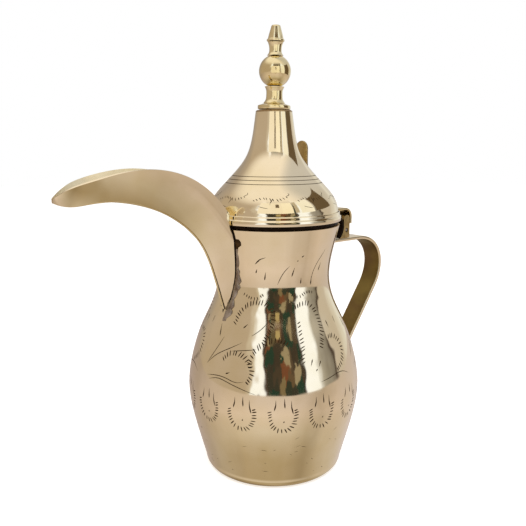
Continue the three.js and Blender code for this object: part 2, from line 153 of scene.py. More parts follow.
def bezier(controls, count=24):
    """Points on a Bezier curve of any degree, without the first one."""
    c = np.array(controls, float)
    n = len(c) - 1
    t = np.linspace(0, 1, count + 1)[1:, None]
    return list(sum(math.comb(n, i) * (1 - t) ** (n - i) * t**i * c[i] for i in range(n + 1)))


def offset(points, distance):
    """The line moved to its left."""
    p = np.array(points, float)
    return p + distance * left_of(p)


def radius_at(outline, height):
    """The radius of a turned outline at a height."""
    return float(np.interp(height, outline[:, 1], outline[:, 0]))


# ---- materials
def node_tree(name):
    """A new material, with its node tree and its shader."""
    material = bpy.data.materials.new(name)
    material.use_nodes = True
    tree = material.node_tree
    return material, tree, tree.nodes["Principled BSDF"]


def add_node(tree, kind, inputs, **settings):
    """A shader node. inputs gives its sockets a value each, or another node's output."""
    node = tree.nodes.new("ShaderNode" + kind)
    for name, value in settings.items():
        setattr(node, name, value)
    for socket, value in inputs.items():
        if isinstance(value, bpy.types.NodeSocket):
            tree.links.new(value, node.inputs[socket])
        else:
            node.inputs[socket].default_value = value
    return node


def noise(tree, scale, detail, stretch=(1, 1, 1)):
    """Noise in object space; scale is in features a metre."""
    place = add_node(tree, "TexCoord", {}).outputs["Object"]
    stretched = add_node(tree, "Mapping", {"Scale": stretch, "Vector": place}).outputs["Vector"]
    return add_node(tree, "TexNoise", {"Scale": scale, "Detail": detail, "Vector": stretched}).outputs["Fac"]


def ramp(tree, value, stops):
    """A colour ramp; stops are (position, colour)."""
    node = add_node(tree, "ValToRGB", {"Fac": value})
    elements = node.color_ramp.elements
    while len(elements) < len(stops):
        elements.new(0.5)
    for element, (position, colour) in zip(elements, stops):
        element.position = position
        element.color = (*colour, 1)
    return node.outputs["Color"]


def bump(tree, shader, layers):
    """Stacks height layers of (value, depth in metres)."""
    below = {}
    for value, depth in layers:
        node = add_node(tree, "Bump", {"Strength": 1.0, "Distance": depth, "Height": value, **below})
        below = {"Normal": node.outputs["Normal"]}
    tree.links.new(below["Normal"], shader.inputs["Normal"])


def grey(value):
    return (value, value, value)


# What a metal's surface is made of: features a metre, detail, stretch, and times the given depth.
WAVES = [(45.0, 1.0, (1, 1, 1), 1)]
SCRATCHES = [(900.0, 2.0, (1, 1, 0.08), 1), (700.0, 2.0, (0.1, 0.1, 1), 1)]
GRAIN = [(1400.0, 6.0, (1, 1, 1), 1), (260.0, 4.0, (1, 1, 1), 3)]


def metal(name, bright, dull, roughness, patch=60.0, waves=0.0, scratches=0.0, grain=0.0):
    """Metal whose colour and roughness wander between a bright and a dull state."""
    material, tree, shader = node_tree(name)
    shader.inputs["Metallic"].default_value = 1.0
    colour = ramp(tree, noise(tree, patch, 5.0), [(0.38, bright), (0.72, dull)])
    tree.links.new(colour, shader.inputs["Base Color"])
    smooth, rough = (grey(value) for value in roughness)
    finish = ramp(tree, noise(tree, patch * 2.3, 4.0), [(0.3, smooth), (0.75, rough)])
    tree.links.new(finish, shader.inputs["Roughness"])
    layers = []
    for texture, depth in ((WAVES, waves), (SCRATCHES, scratches), (GRAIN, grain)):
        if depth:
            layers += [(noise(tree, *how), depth * times) for *how, times in texture]
    bump(tree, shader, layers)
    return material


POLISHED = metal(
    "polished_brass", (0.93, 0.83, 0.61), (0.88, 0.77, 0.52), (0.035, 0.10),
    waves=0.00021, scratches=0.0000025,
)
CAST = metal(
    "cast_brass", (0.90, 0.80, 0.50), (0.80, 0.67, 0.37), (0.05, 0.15), 120.0,
    waves=0.0003, scratches=0.000004,
)
CUT = metal("chased_cut", (0.10, 0.06, 0.025), (0.05, 0.03, 0.015), (0.45, 0.7), 300.0, grain=0.00001)
INSIDE = metal(
    "raised_inside", (0.52, 0.38, 0.20), (0.30, 0.20, 0.10), (0.35, 0.6), 90.0, waves=0.0002, grain=0.00002,
)
SPOUT_IN = metal(
    "spout_inside", (0.94, 0.85, 0.60), (0.80, 0.69, 0.44), (0.20, 0.38), 70.0,
    waves=0.0002, scratches=0.00001,
)
SATIN = metal(
    "satin_brass", (0.60, 0.46, 0.21), (0.36, 0.25, 0.10), (0.28, 0.5), 140.0,
    scratches=0.00002, grain=0.00001,
)
# Dark brown for the handle's inner side: painted shade and a painted reflection of the dark pot.
HANDLE_SHADE = metal(
    "handle_inner_shade", (0.27, 0.20, 0.06), (0.17, 0.10, 0.05), (0.35, 0.6), 40.0,
    scratches=0.00001, grain=0.00001,
)
# Near-black brass: painted shade for seams, gaps and recesses where shadow falls.
PAINTED_SHADE = metal("painted_shade", (0.03, 0.018, 0.012), (0.012, 0.008, 0.006), (0.5, 0.8), 120.0, grain=0.00002)
SOLDER = metal("solder", (0.46, 0.41, 0.35), (0.20, 0.14, 0.10), (0.35, 0.65), 220.0, grain=0.00004)
STEEL = metal("steel", (0.42, 0.40, 0.37), (0.20, 0.15, 0.11), (0.3, 0.55), 250.0, scratches=0.00002)
SHELL = [POLISHED, INSIDE, CUT]  # the materials of the pot and the lid
SKIN, LINING, CUT_FACE = range(3)  # their places in it


# ---- meshes
def new_object(name, data):
    thing = bpy.data.objects.new(name, data)
    bpy.context.scene.collection.objects.link(thing)
    return thing


def paint(mesh, materials, indices):
    """Gives a mesh its materials; indices says which of them each face has."""
    for material in materials:
        mesh.materials.append(material)
    mesh.polygons.foreach_set("material_index", np.array(indices, np.int32))


def solid_mesh(name, verts, faces, materials, indices=None):
    """A closed mesh with all its faces turned outward, from vertices in millimetres."""
    mesh = bpy.data.meshes.new(name)
    mesh.from_pydata((np.array(verts, float) * MM).tolist(), [], faces)
    paint(mesh, materials, indices or [0] * len(faces))
    work = bmesh.new()
    work.from_mesh(mesh)
    bmesh.ops.recalc_face_normals(work, faces=work.faces)
    work.to_mesh(mesh)
    work.free()
    return mesh


def piece(name, body, nodes, verts, faces, materials, indices=None, sharp=35.0, matrix=None):
    """A shown piece from vertices in millimetres. It rides on a body and stands for CAD nodes."""
    mesh = solid_mesh(name, verts, faces, materials, indices)
    if matrix is not None:
        mesh.transform(matrix)
    finish_mesh(mesh, sharp)
    thing = new_object(name, mesh)
    declare(thing, body, nodes)
    return thing


def finish_mesh(mesh, sharp):
    """Shades a mesh smooth, but for edges sharper than so many degrees."""
    mesh.polygons.foreach_set("use_smooth", np.ones(len(mesh.polygons), bool))
    mesh.set_sharp_from_angle(angle=math.radians(sharp))
    mesh.update()


def declare(thing, body, nodes):
    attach(thing, body)
    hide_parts(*nodes)


def revolve(profile, around):
    """Vertices, faces and each face's place in a closed profile of (radius, height) turned about Z."""
    angles = np.linspace(0, 2 * np.pi, around, endpoint=False)
    circle = np.stack([np.cos(angles), np.sin(angles)], axis=1)
    verts, rings = [], []
    for radius, height in profile:
        start = len(verts)
        if radius < 1e-6:
            verts.append((0, 0, height))
            rings.append([start] * around)
            continue
        verts.extend((radius * c, radius * s, height) for c, s in circle)
        rings.append(list(range(start, start + around)))
    faces, steps = [], []
    closed = profile[0][0] > 1e-6
    for k in range(len(profile) if closed else len(profile) - 1):
        low_ring, high_ring = rings[k], rings[(k + 1) % len(profile)]
        for i in range(around):
            j = (i + 1) % around
            corners = dict.fromkeys([low_ring[i], low_ring[j], high_ring[j], high_ring[i]])
            if len(corners) > 2:
                faces.append(list(corners))
                steps.append(k)
    return verts, faces, steps


def turned(name, body, nodes, profile, material, around=SMALL_AROUND, matrix=None, sharp=35.0):
    verts, faces, _ = revolve(profile, around)
    return piece(name, body, nodes, verts, faces, [material], sharp=sharp, matrix=matrix)


def bar_faces(rows, corners):
    """The faces of a closed bar from its rows of corners: the sides row by row, then the two ends."""
    faces = []
    for start in range(0, (rows - 1) * corners, corners):
        for i in range(corners):
            a, b = start + i, start + (i + 1) % corners
            faces.append([a, b, b + corners, a + corners])
    return faces + [list(range(corners)), list(range((rows - 1) * corners, rows * corners))]


def swept_strip(line, half_widths, thickness, rounding=0.45):
    """A flat bar bent along a line in the XZ plane, as wide along Y as half_widths says at each point.

    Also returns which side of the bar each face is on, with -1 for the two ends.
    """
    half = thickness / 2
    corners = []
    for sy, sn, start in ((1, 1, 0), (-1, 1, 90), (-1, -1, 180), (1, -1, 270)):
        for angle in np.radians(np.linspace(start, start + 90, 4)):
            corners.append((sy, sn, math.cos(angle), math.sin(angle)))
    verts = []
    for (x, z), (nx, nz), width in zip(line, left_of(line), half_widths):
        r = min(rounding, width * 0.9, half * 0.9)
        for sy, sn, c, s in corners:
            y = sy * (width - r) + r * c
            out = sn * (half - r) + r * s
            verts.append((x + nx * out, y, z + nz * out))
    faces = bar_faces(len(line), len(corners))
    sides = [k % len(corners) for k in range(len(faces) - 2)] + [-1, -1]
    return verts, faces, sides


def tube(points, radii, around=14, squash=1.0, out=None):
    """A closed round bar along 3D points, as thick as radii says at each."""
    p = np.array(points, float)
    d = unit(np.gradient(p, axis=0))
    up = np.array(out, float) if out is not None else np.tile([0, 1.0, 0], (len(p), 1))
    side = unit(np.cross(d, up))
    up = np.cross(side, d)
    verts = []
    for k, place in enumerate(p):
        for angle in np.linspace(0, 2 * np.pi, around, endpoint=False):
            spoke = side[k] * math.cos(angle) + squash * up[k] * math.sin(angle)
            verts.append(place + radii[k] * spoke)
    return verts, bar_faces(len(p), around)


def refined(node, material, bevel):
    """A copy of a CAD node: flat faces whole again, sharp edges broken, curves shaded smooth."""
    source = frame["nodes"][node]
    mesh = bpy.data.meshes.new(node + "_finished")
    work = bmesh.new()
    work.from_mesh(source.data)
    bmesh.ops.remove_doubles(work, verts=work.verts, dist=0.01 * MM)
    bmesh.ops.dissolve_limit(work, angle_limit=math.radians(1), verts=work.verts, edges=work.edges)
    sharp = math.radians(40)
    edges = [e for e in work.edges if len(e.link_faces) == 2 and e.calc_face_angle() > sharp]
    bmesh.ops.bevel(
        work, geom=edges, offset=bevel * MM, segments=2, profile=0.6, affect="EDGES", clamp_overlap=True
    )
    work.to_mesh(mesh)
    work.free()
    mesh.materials.append(material)
    finish_mesh(mesh, 38.0)
    declare(new_object(mesh.name, mesh), source["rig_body"], [node])


# ---- camera, light and floor
VIEW_AZIMUTH = 42.0
CAMERA_DISTANCE = 0.421
CAMERA_HEIGHT = 0.2165
CAMERA_PITCH = 10.5  # degrees below level
CAMERA_LENS = 43.8
HEADING = VIEW_AZIMUTH - 0.96  # the pot stands a little to the right of the middle


def add_camera():
    data = bpy.data.cameras.new("camera")
    data.lens = CAMERA_LENS
    data.sensor_width = 36
    camera = new_object("camera", data)
    angle = math.radians(VIEW_AZIMUTH)
    camera.location = (-math.sin(angle) * CAMERA_DISTANCE, -math.cos(angle) * CAMERA_DISTANCE, CAMERA_HEIGHT)
    camera.rotation_euler = (math.radians(90 - CAMERA_PITCH), 0, -math.radians(HEADING))
    bpy.context.scene.camera = camera


BEHIND = (0.56, 0.51, 0.47)
BACK_WALL = (0.38, 0.33, 0.30)
WALL = (0.51, 0.42, 0.34)  # to the left
FAR_WALL = (0.60, 0.54, 0.49)  # to the right
DOORWAY = (0.84, 0.84, 0.82)  # behind the handle
CEILING = (0.98, 0.90, 0.83)
FAR_CEILING = (0.62, 0.60, 0.60)  # to the right
WINDOW = (1.08, 1.14, 1.30)
SHADE = (0.075, 0.05, 0.035)
HORIZON = -0.10  # the table's far edge, as the height of a direction

# What stands round the pot, by bearing in degrees: 0 is in front of the pot, positive to the right.
ROOM = [
    (-180, BEHIND), (-150, BACK_WALL), (-115, WALL), (-38, WALL), (-29, (0.64, 0.57, 0.49)),
    (-26, WINDOW), (-17, WINDOW), (-15, SHADE), (42, (0.05, 0.04, 0.03)), (44, WINDOW), (64, WINDOW),
    (72, (0.45, 0.43, 0.41)), (90, (0.22, 0.20, 0.18)), (92, (0.06, 0.04, 0.03)), (94, (0.07, 0.05, 0.04)),
    (97, FAR_WALL), (120, FAR_WALL), (145, DOORWAY), (180, BEHIND),
]
# The table, by how steeply down a direction points: 0 is straight down, 1 is level.
TABLE = [
    (0.0, (0.44, 0.35, 0.24)), (0.13, (0.41, 0.32, 0.205)), (0.29, (0.61, 0.525, 0.43)),
    (0.53, (0.72, 0.61, 0.56)), (0.78, (0.64, 0.54, 0.49)), (1.0, (0.60, 0.51, 0.46)),
]
# How much light falls on the table, by bearing.
TABLE_LIGHT = [
    (-180, (0.85, 0.86, 0.89)), (-150, (0.66, 0.64, 0.66)), (-120, (0.70, 0.68, 0.68)),
    (-60, (1.02, 1.0, 0.96)), (-15, (1.12, 1.14, 1.18)), (25, (1.08, 1.09, 1.12)), (65, (0.78, 0.76, 0.72)),
    (88, (0.96, 0.95, 0.94)), (140, (0.98, 1.02, 1.10)), (180, (0.85, 0.86, 0.89)),
]
SHELVES = 14, 26  # the bearing of the shelves' middle, and how far they reach to each side
# What stands on the shelves, from its darkest things to its brightest.
CLUTTER = [
    (0.0, (0.02, 0.05, 0.035)), (0.18, (0.035, 0.06, 0.04)), (0.30, (0.05, 0.04, 0.03)),
    (0.52, (0.10, 0.07, 0.045)), (0.66, (0.20, 0.07, 0.035)), (0.80, (0.12, 0.095, 0.055)),
    (0.92, (0.24, 0.18, 0.10)), (1.0, (0.44, 0.38, 0.27)),
]
CEILING_EDGE = 0.55, 0.88  # the ceiling fades in between these heights of a direction
CEILING_DROP = 0.4  # how much lower it hangs to the right
DROP_START, DROP_END = (40, 105), (178, 140)  # the bearings over which it sinks, and rises again


def add_world():
    """The room that the metal mirrors, painted by the bearing and the height of a direction."""
    world = bpy.data.worlds.new("studio")
    bpy.context.scene.world = world
    world.use_nodes = True
    tree = world.node_tree
    tree.nodes.clear()

    def add(kind, inputs, **settings):
        return add_node(tree, kind, inputs, **settings).outputs

    def calc(operation, *values):
        return add("Math", dict(enumerate(values)), operation=operation)["Value"]

    def mix(fac, a, b, blend="MIX"):
        a, b = ((*colour, 1) if isinstance(colour, tuple) else colour for colour in (a, b))
        return add("Mix", {"Factor": fac, 6: a, 7: b}, data_type="RGBA", blend_type=blend)[2]

    def between(value, start, end):
        ends = {"Value": value, "From Min": start, "From Max": end}
        return add("MapRange", ends, interpolation_type="SMOOTHSTEP")["Result"]

    def by_bearing(value, stops, scale=1):
        turns = [((angle + 180) / 360, tuple(c * scale for c in colour)) for angle, colour in stops]
        return ramp(tree, value, turns)

    generated = add("TexCoord", {})["Generated"]
    turn = {"Angle": math.radians(VIEW_AZIMUTH), "Vector": generated}
    way = add("VectorRotate", turn, rotation_type="Z_AXIS")["Vector"]
    axes = add("SeparateXYZ", {"Vector": way})
    height = axes["Z"]
    bearing = calc("ARCTAN2", axes["X"], calc("MULTIPLY", axes["Y"], -1.0))
    wobble = add("TexNoise", {"Scale": 2.6, "Vector": way})["Fac"]
    shift = calc("MULTIPLY", calc("SUBTRACT", wobble, 0.5), 0.10)
    place = calc("ADD", calc("ADD", calc("DIVIDE", bearing, 2 * math.pi), 0.5), shift)

    # Tall things with ragged edges stand side by side on the shelves.
    upright = add("Mapping", {"Scale": (1, 1, 0.6), "Vector": way})["Vector"]
    edges = add("TexNoise", {"Scale": 9.0, "Vector": upright})["Color"]
    ragged = add("VectorMath", {0: edges, 1: (0.22, 0.22, 0.22), 2: upright}, operation="MULTIPLY_ADD")
    things = add("TexVoronoi", {"Scale": 7.0, "Vector": ragged["Vector"]})["Color"]
    kind = add("SeparateColor", {"Color": things})["Red"]
    middle, reach = SHELVES
    in_front = calc("COMPARE", place, (middle + 180) / 360, reach / 360)
    walls = mix(in_front, by_bearing(place, ROOM), ramp(tree, kind, CLUTTER))

    right = calc(
        "MULTIPLY", *(between(bearing, *np.radians(ends).tolist()) for ends in (DROP_START, DROP_END)),
    )
    ceiling = mix(right, CEILING, FAR_CEILING)
    lowered = calc("ADD", height, calc("MULTIPLY", right, CEILING_DROP))
    above = mix(between(lowered, *CEILING_EDGE), walls, ceiling)

    # A ramp cannot pass 1, so the light is stored halved and the product doubled.
    steepness = ramp(tree, calc("ADD", height, 1.0), TABLE)
    table = mix(1.0, steepness, by_bearing(place, TABLE_LIGHT, 0.5), "MULTIPLY")
    doubled = add("VectorMath", {0: table, "Scale": 2.0}, operation="SCALE")["Vector"]
    around = mix(between(height, HORIZON - 0.01, HORIZON + 0.01), doubled, above)
    camera_ray = add("LightPath", {})["Is Camera Ray"]
    background = add("Background", {"Color": mix(camera_ray, around, (1.0, 1.0, 1.0))})["Background"]
    add("OutputWorld", {"Surface": background})


def stage_sheet(name, verts, faces, base, roughness, glow, strength, **flags):
    """A glowing sheet that belongs to the studio and not to the pot."""
    mesh = bpy.data.meshes.new(name)
    mesh.from_pydata(verts, [], faces)
    material, _, shader = node_tree(name)
    shader.inputs["Base Color"].default_value = (*base, 1)
    shader.inputs["Roughness"].default_value = roughness
    shader.inputs["Emission Color"].default_value = (*glow, 1)
    shader.inputs["Emission Strength"].default_value = strength
    mesh.materials.append(material)
    sheet = new_object(name, mesh)
    for flag, value in flags.items():
        setattr(sheet, flag, value)


def add_floor():
    """A wide pale sheet. Only the camera sees it: the pot mirrors the table colour of the studio instead."""
    half, below = 3.0, -0.0003
    verts = [(-half, -half, below), (half, -half, below), (half, half, below), (-half, half, below)]
    stage_sheet("floor", verts, [(0, 1, 2, 3)], grey(0.9), 0.9, grey(1), 0.55, visible_glossy=False)


def add_lamp():
    data = bpy.data.lights.new("softbox", "AREA")
    data.shape = "DISK"
    data.size = 1.2
    data.energy = 9.0
    lamp = new_object("softbox", data)
    lamp.location = (-0.35, -0.45, 1.1)
    lamp.rotation_euler = (Vector((0, 0, 0.1)) - lamp.location).to_track_quat("-Z", "Y").to_euler()
    lamp.visible_glossy = False


CARDS = [  # bearings from and to, foot and top in metres, and colour
    (-26, 3, 0.212, 0.370, (0.98, 0.90, 0.78)),
    (3, 9, 0.212, 0.280, (1.0, 0.92, 0.79)),
    (3, 9, 0.280, 0.340, (0.14, 0.095, 0.06)),
    (3, 9, 0.340, 0.370, (1.0, 0.92, 0.79)),
    (9, 14, 0.212, 0.370, (1.0, 0.92, 0.79)),
    (3, 10, 0.188, 0.206, (0.46, 0.36, 0.17)),
    (14, 33, 0.212, 0.370, (1.05, 0.98, 0.84)),
    (36, 43, 0.215, 0.370, (0.55, 0.48, 0.38)),
    (46, 71, 0.212, 0.370, (1.0, 0.98, 0.92)),
    (74, 112, 0.215, 0.370, (0.13, 0.09, 0.05)),
]
CARD_RADIUS = 0.19


def add_cards():
    """Strips standing round the lid, which only show as stripes in its polish."""
    steps = 12
    faces = [(2 * k, 2 * k + 2, 2 * k + 3, 2 * k + 1) for k in range(steps - 1)]
    for start, end, foot, top, colour in CARDS:
        verts = []
        for bearing in np.linspace(start, end, steps):
            angle = math.radians(bearing - 90 - VIEW_AZIMUTH)
            for height in (foot, top):
                verts.append((CARD_RADIUS * math.cos(angle), CARD_RADIUS * math.sin(angle), height))
        stage_sheet(
            "card", verts, faces, grey(0), 1.0, colour, 1.0,
            visible_camera=False, visible_diffuse=False, visible_shadow=False,
        )


add_camera()
add_world()
add_cards()
add_floor()
add_lamp()
bpy.context.scene.view_settings.view_transform = "Standard"

# ---- outlines of the pot and the lid
CORNER = 6.2
FOOT_RADIUS = 46.7
POT_OUTLINE = smooth_line(
    [
        (FOOT_RADIUS, CORNER), (50.3, 19), (55, 37), (BELLY_RADIUS, 59), (54.8, 78), (47.8, 99), (41.3, 113),
        (37.2, 130), (38.8, 146), (RIM_RADIUS, RIM_HEIGHT),
    ],
    150,
)
FOOT_CORNER = arc(FOOT_RADIUS - CORNER, CORNER, CORNER, -90, 0, 14)[:-1]
LID_OUTLINE = smooth_line(
    [
        (42.3, 170.6), (42.2, 174), (40.6, 180.5), (33.7, 190), (24.4, 200), (17.7, 209.5), (14.3, 220),
        (12.5, 231.5), (11.8, LID_TOP - 1.2),
    ],
    110,
)


class Surface:
    """A turned outer surface: a place and an outward normal for a bearing and a height."""

    def __init__(self, outline):
        steps = np.gradient(outline, axis=0)
        normal = np.stack([steps[:, 1], -steps[:, 0]], axis=1)
        normal *= np.sign(steps[:, 1:2])
        self.height = outline[:, 1]
        self.radius = outline[:, 0]
        self.normal = unit(normal)

    def point(self, bearing, height, out=0.0):
        """bearing is in degrees from the camera's side, positive to its right."""
        angle = math.radians(bearing - 90 - VIEW_AZIMUTH)
        radius = np.interp(height, self.height, self.radius)
        across, up = self.slope(height)
        flat = radius + out * across
        return np.array([flat * math.cos(angle), flat * math.sin(angle), height + out * up])

    def slope(self, height):
        """How far the normal at a height points outward, and how far up."""
        return [np.interp(height, self.height, part) for part in self.normal.T]

    def normal_at(self, place):
        across, up = self.slope(place[2])
        flat = math.hypot(place[0], place[1])
        n = np.array([place[0] / flat * across, place[1] / flat * across, up])
        return n / np.linalg.norm(n)

    def degrees(self, length, height):
        """How many degrees of bearing a length in millimetres covers at a height."""
        return math.degrees(length / np.interp(height, self.height, self.radius))


# ---- chased ornament
class Graver:
    """Collects V-shaped cuts on a surface as closed cutters."""

    PROUD = 0.12  # how far the cutters stand out of the surface
    TIP_PROUD = 0.02  # and how far at the ends of a stroke
    HATCH_DEPTH = 0.19
    LINE_DEPTH = 0.15

    def __init__(self, surface):
        self.surface = surface
        self.verts = []
        self.faces = []

    def stroke(self, line, width, depth, fullness=(0.45, 1.0, 0.8, 0.4)):
        """A tapered cut along (bearing, height) points. fullness is its width along the line."""
        count = len(fullness) + 2
        path = respaced(line, count)
        places = [self.surface.point(*q) for q in path]
        normals = [self.surface.normal_at(q) for q in places]
        start = len(self.verts)
        self.verts.append(places[0] + normals[0] * self.TIP_PROUD)
        for k, full in enumerate(fullness, 1):
            along = places[k + 1] - places[k - 1]
            side = np.cross(normals[k], along)
            side /= np.linalg.norm(side)
            deep = depth * full
            half = width / 2 * full * (deep + self.PROUD) / deep
            top = places[k] + normals[k] * self.PROUD
            self.verts += [top + side * half, top - side * half, places[k] - normals[k] * deep]
        self.verts.append(places[-1] + normals[-1] * self.TIP_PROUD)
        last = len(self.verts) - 1
        for i in range(3):
            j = (i + 1) % 3
            self.faces.append([start, start + 1 + i, start + 1 + j])
            for a in range(start + 1, last - 3, 3):
                self.wall(a + i, a + j, a + 3 + i, a + 3 + j)
            self.faces.append([last, last - 3 + j, last - 3 + i])

    def wall(self, a, b, c, d):
        """Two triangles between the edge from a to b and the one from c to d."""
        self.faces += [[a, c, d], [a, d, b]]

    def hatched(self, line, pitch, length, width, lean=0.0, side=1.0):
        """A row of short strokes standing across a line, all on one side of it."""
        steps = 200
        path = smooth_line(line, steps)
        scale = np.array([1 / self.surface.degrees(1.0, path[:, 1].mean()), 1.0])
        flat = path * scale
        reach = travelled(flat)
        count = max(2, round(reach[-1] / pitch))
        for k in range(count + 1):
            at = reach[-1] * (k + dice.uniform(-0.15, 0.15)) / count
            i = int(np.clip(np.searchsorted(reach, at), 1, steps - 2))
            along = flat[i + 1] - flat[i - 1]
            along /= np.linalg.norm(along)
            across = np.array([-along[1], along[0]]) * side
            across += along * (lean + dice.uniform(-0.12, 0.12))
            across /= np.linalg.norm(across)
            swell = 0.78 + 0.22 * math.sin(math.pi * k / count)
            end = flat[i] + across * length * swell * dice.uniform(0.85, 1.1)
            cut = [flat[i] / scale, end / scale]
            self.stroke(cut, width * dice.uniform(0.8, 1.1), self.HATCH_DEPTH, (0.9, 1.0, 0.85))

    def line(self, line, width=0.46):
        """A long thin line through a few points."""
        fullness = (0.5, 0.8, 1.0, 1.0, 1.0, 1.0, 1.0, 0.9, 0.7, 0.4)
        self.stroke(smooth_line(line, 40), width, self.LINE_DEPTH, fullness)

    def drop(self, line, width, depth=0.25):
        """A tapered tear-shaped cut, widest near its start."""
        self.stroke(line, width, depth, (0.8, 1.0, 0.75, 0.5, 0.3))

    def ring(self, height, half_width=0.32, depth=0.14):
        """A cut all the way round."""
        start = len(self.verts)
        for i in range(AROUND):
            bearing = 360 * (i + 0.5) / AROUND
            for up, out in ((half_width, self.PROUD), (-half_width, self.PROUD), (0.0, -depth)):
                self.verts.append(self.surface.point(bearing, height + up, out))
        for k in range(AROUND):
            a, b = start + 3 * k, start + 3 * ((k + 1) % AROUND)
            for i in range(3):
                j = (i + 1) % 3
                self.wall(a + i, a + j, b + i, b + j)

    def cutter(self):
        return solid_mesh("cutter", self.verts, self.faces, SHELL, [CUT_FACE] * len(self.faces))


def carve(thing, graver, *more):
    """Cuts the graver's strokes and other closed meshes out of a piece. Its polished skin stays smooth."""
    for mesh in (graver.cutter(), *more):
        tool = new_object("cutter", mesh)
        boolean = thing.modifiers.new("carve", "BOOLEAN")
        boolean.operation = "DIFFERENCE"
        boolean.solver = "MANIFOLD"
        boolean.object = tool
        with bpy.context.temp_override(object=thing, active_object=thing, selected_objects=[thing]):
            bpy.ops.object.modifier_apply(modifier=boolean.name)
        bpy.data.objects.remove(tool)
    polish(thing.data, graver.surface)


def polish(mesh, surface):
    """Gives the outer skin the exact normals of its turned surface, and each cut face its own."""
    finish_mesh(mesh, 35.0)
    normals = np.zeros((len(mesh.loops), 3))
    for face in mesh.polygons:
        if face.material_index == SKIN:
            for loop in face.loop_indices:
                place = np.array(mesh.vertices[mesh.loops[loop].vertex_index].co) / MM
                normals[loop] = surface.normal_at(place)
        elif face.material_index == CUT_FACE:
            normals[list(face.loop_indices)] = face.normal
    mesh.normals_split_custom_set(normals.tolist())


SCALLOPS = 14  # lobes in the band round the belly
SPRAYS = 3  # how often the large spray comes round
SCUFFS = 70


def scallop(graver, bearing):
    """A hatched cup with three long petals and a seed in it."""
    half = 6.6
    right = [(half * 0.3, 46.8), (half * 0.85, 51), (half, 58)]
    cup = [(-u, z) for u, z in right[::-1]] + right
    graver.hatched([(bearing + u, z) for u, z in cup], 1.7, 4.2, 0.8, lean=0.35, side=-1.0)
    for u, foot, top in ((-5.4, 58, 65.5), (1.2, 59.5, 66.5), (6.4, 55.5, 65)):
        middle = (bearing + u * 0.82, (foot + top) / 2)
        graver.drop([(bearing + u, foot), middle, (bearing + u * 0.8, top)], 0.9)
    graver.drop([(bearing + 0.4, 50.3), (bearing + 0.9, 51.6)], 0.9)


def spray(graver, bearing):
    """The large flower spray: hatched lobes on long curved stems, with loose petals round the neck."""

    def at(*points):
        return [(bearing + u, z) for u, z in points]

    lobes = [
        [(-31, 106), (-28, 113), (-21, 117.5), (-12, 118.5), (-5, 116.5), (-2.5, 111), (-6, 104), (-9, 98)],
        [(-35, 84.5), (-31, 88), (-25, 88.5), (-19, 85.5), (-16, 80), (-18, 75)],
        [(-14, 83), (-13, 89), (-9, 93.5), (-3, 96.5), (3, 97.5), (9, 96)],
        [(20, 116), (27, 117.5), (34, 116.3), (38, 111), (38, 103), (34.5, 94)],
        [(45, 96.5), (51, 95.5), (55, 90), (53, 84), (47, 79)],
    ]
    for lobe in lobes:
        graver.hatched(at(*lobe), 1.8, 4.4, 0.78, lean=0.3)
    graver.hatched(at((19.5, 108), (19, 97), (19, 85)), 2.4, 4.4, 0.7, lean=-0.5)
    graver.hatched(at((-28, 126), (-22, 124.3), (-17, 124), (-11, 126)), 1.8, 2.8, 0.65, side=-1.0)
    graver.hatched(at((18, 126), (24, 124.8), (31, 127), (40, 126.5)), 1.8, 2.8, 0.65, side=-1.0)
    stems = [
        [(-51, 80), (-44, 86.5), (-35, 91.5), (-22, 97.5)],
        [(-51, 80), (-43, 92.5), (-39, 99.5)],
        [(-31, 91.3), (-22, 92.6), (-11, 94)],
        [(-17, 101), (-9.5, 105.3), (-3.5, 110)],
        [(-49, 73.8), (-31, 75), (-24, 73.6), (-18, 75)],
        [(-47, 71.3), (-38, 74), (-31, 73), (-10, 67.5)],
        [(31, 73), (40, 74.5), (52, 75.5), (60, 72)],
        [(3.4, 131), (8.8, 138.5), (15.7, 143.8)],
        [(37.5, 128.5), (42.7, 141), (50, 148), (56, 153)],
        [(60.5, 108.5), (60, 104)],
    ]
    for stem in stems:
        graver.line(at(*stem))
    petals = [
        [(-24.5, 105), (-20.5, 108)], [(-44, 98), (-46.5, 106)], [(-32.5, 77.6), (-29, 79)],
        [(-16.8, 138.6), (-15.4, 141.6)], [(-17.5, 144.2), (-12.5, 147.6), (-6, 149.3)],
        [(17.3, 136.2), (20.2, 142.8)], [(48, 138.2), (51, 144)], [(38.7, 130), (39.4, 136)],
        [(26.8, 131.4), (27.4, 135.8)], [(-8.5, 134.2), (-7.3, 140)], [(22.2, 146), (22.9, 147)],
        [(26, 148.5), (28.5, 149.8)], [(27.5, 87.5), (25.5, 83)], [(33.7, 85.8), (31.5, 82)],
        [(30.3, 81.2), (28.8, 79.8)], [(48.5, 107.5), (49.2, 102.5)],
    ]
    for petal in petals:
        graver.drop(at(*petal), 0.85, 0.24)


def scuffs(graver, count):
    """Fine scratches and nicks from use, on the belly's foot."""
    for _ in range(count):
        bearing, height = dice.uniform(-180, 180), dice.uniform(9, 42)
        length, rise = dice.uniform(0.6, 7.0), dice.uniform(-2.2, 2.2)
        graver.stroke([(bearing, height), (bearing + length, height + rise)], dice.uniform(0.16, 0.34), 0.05)


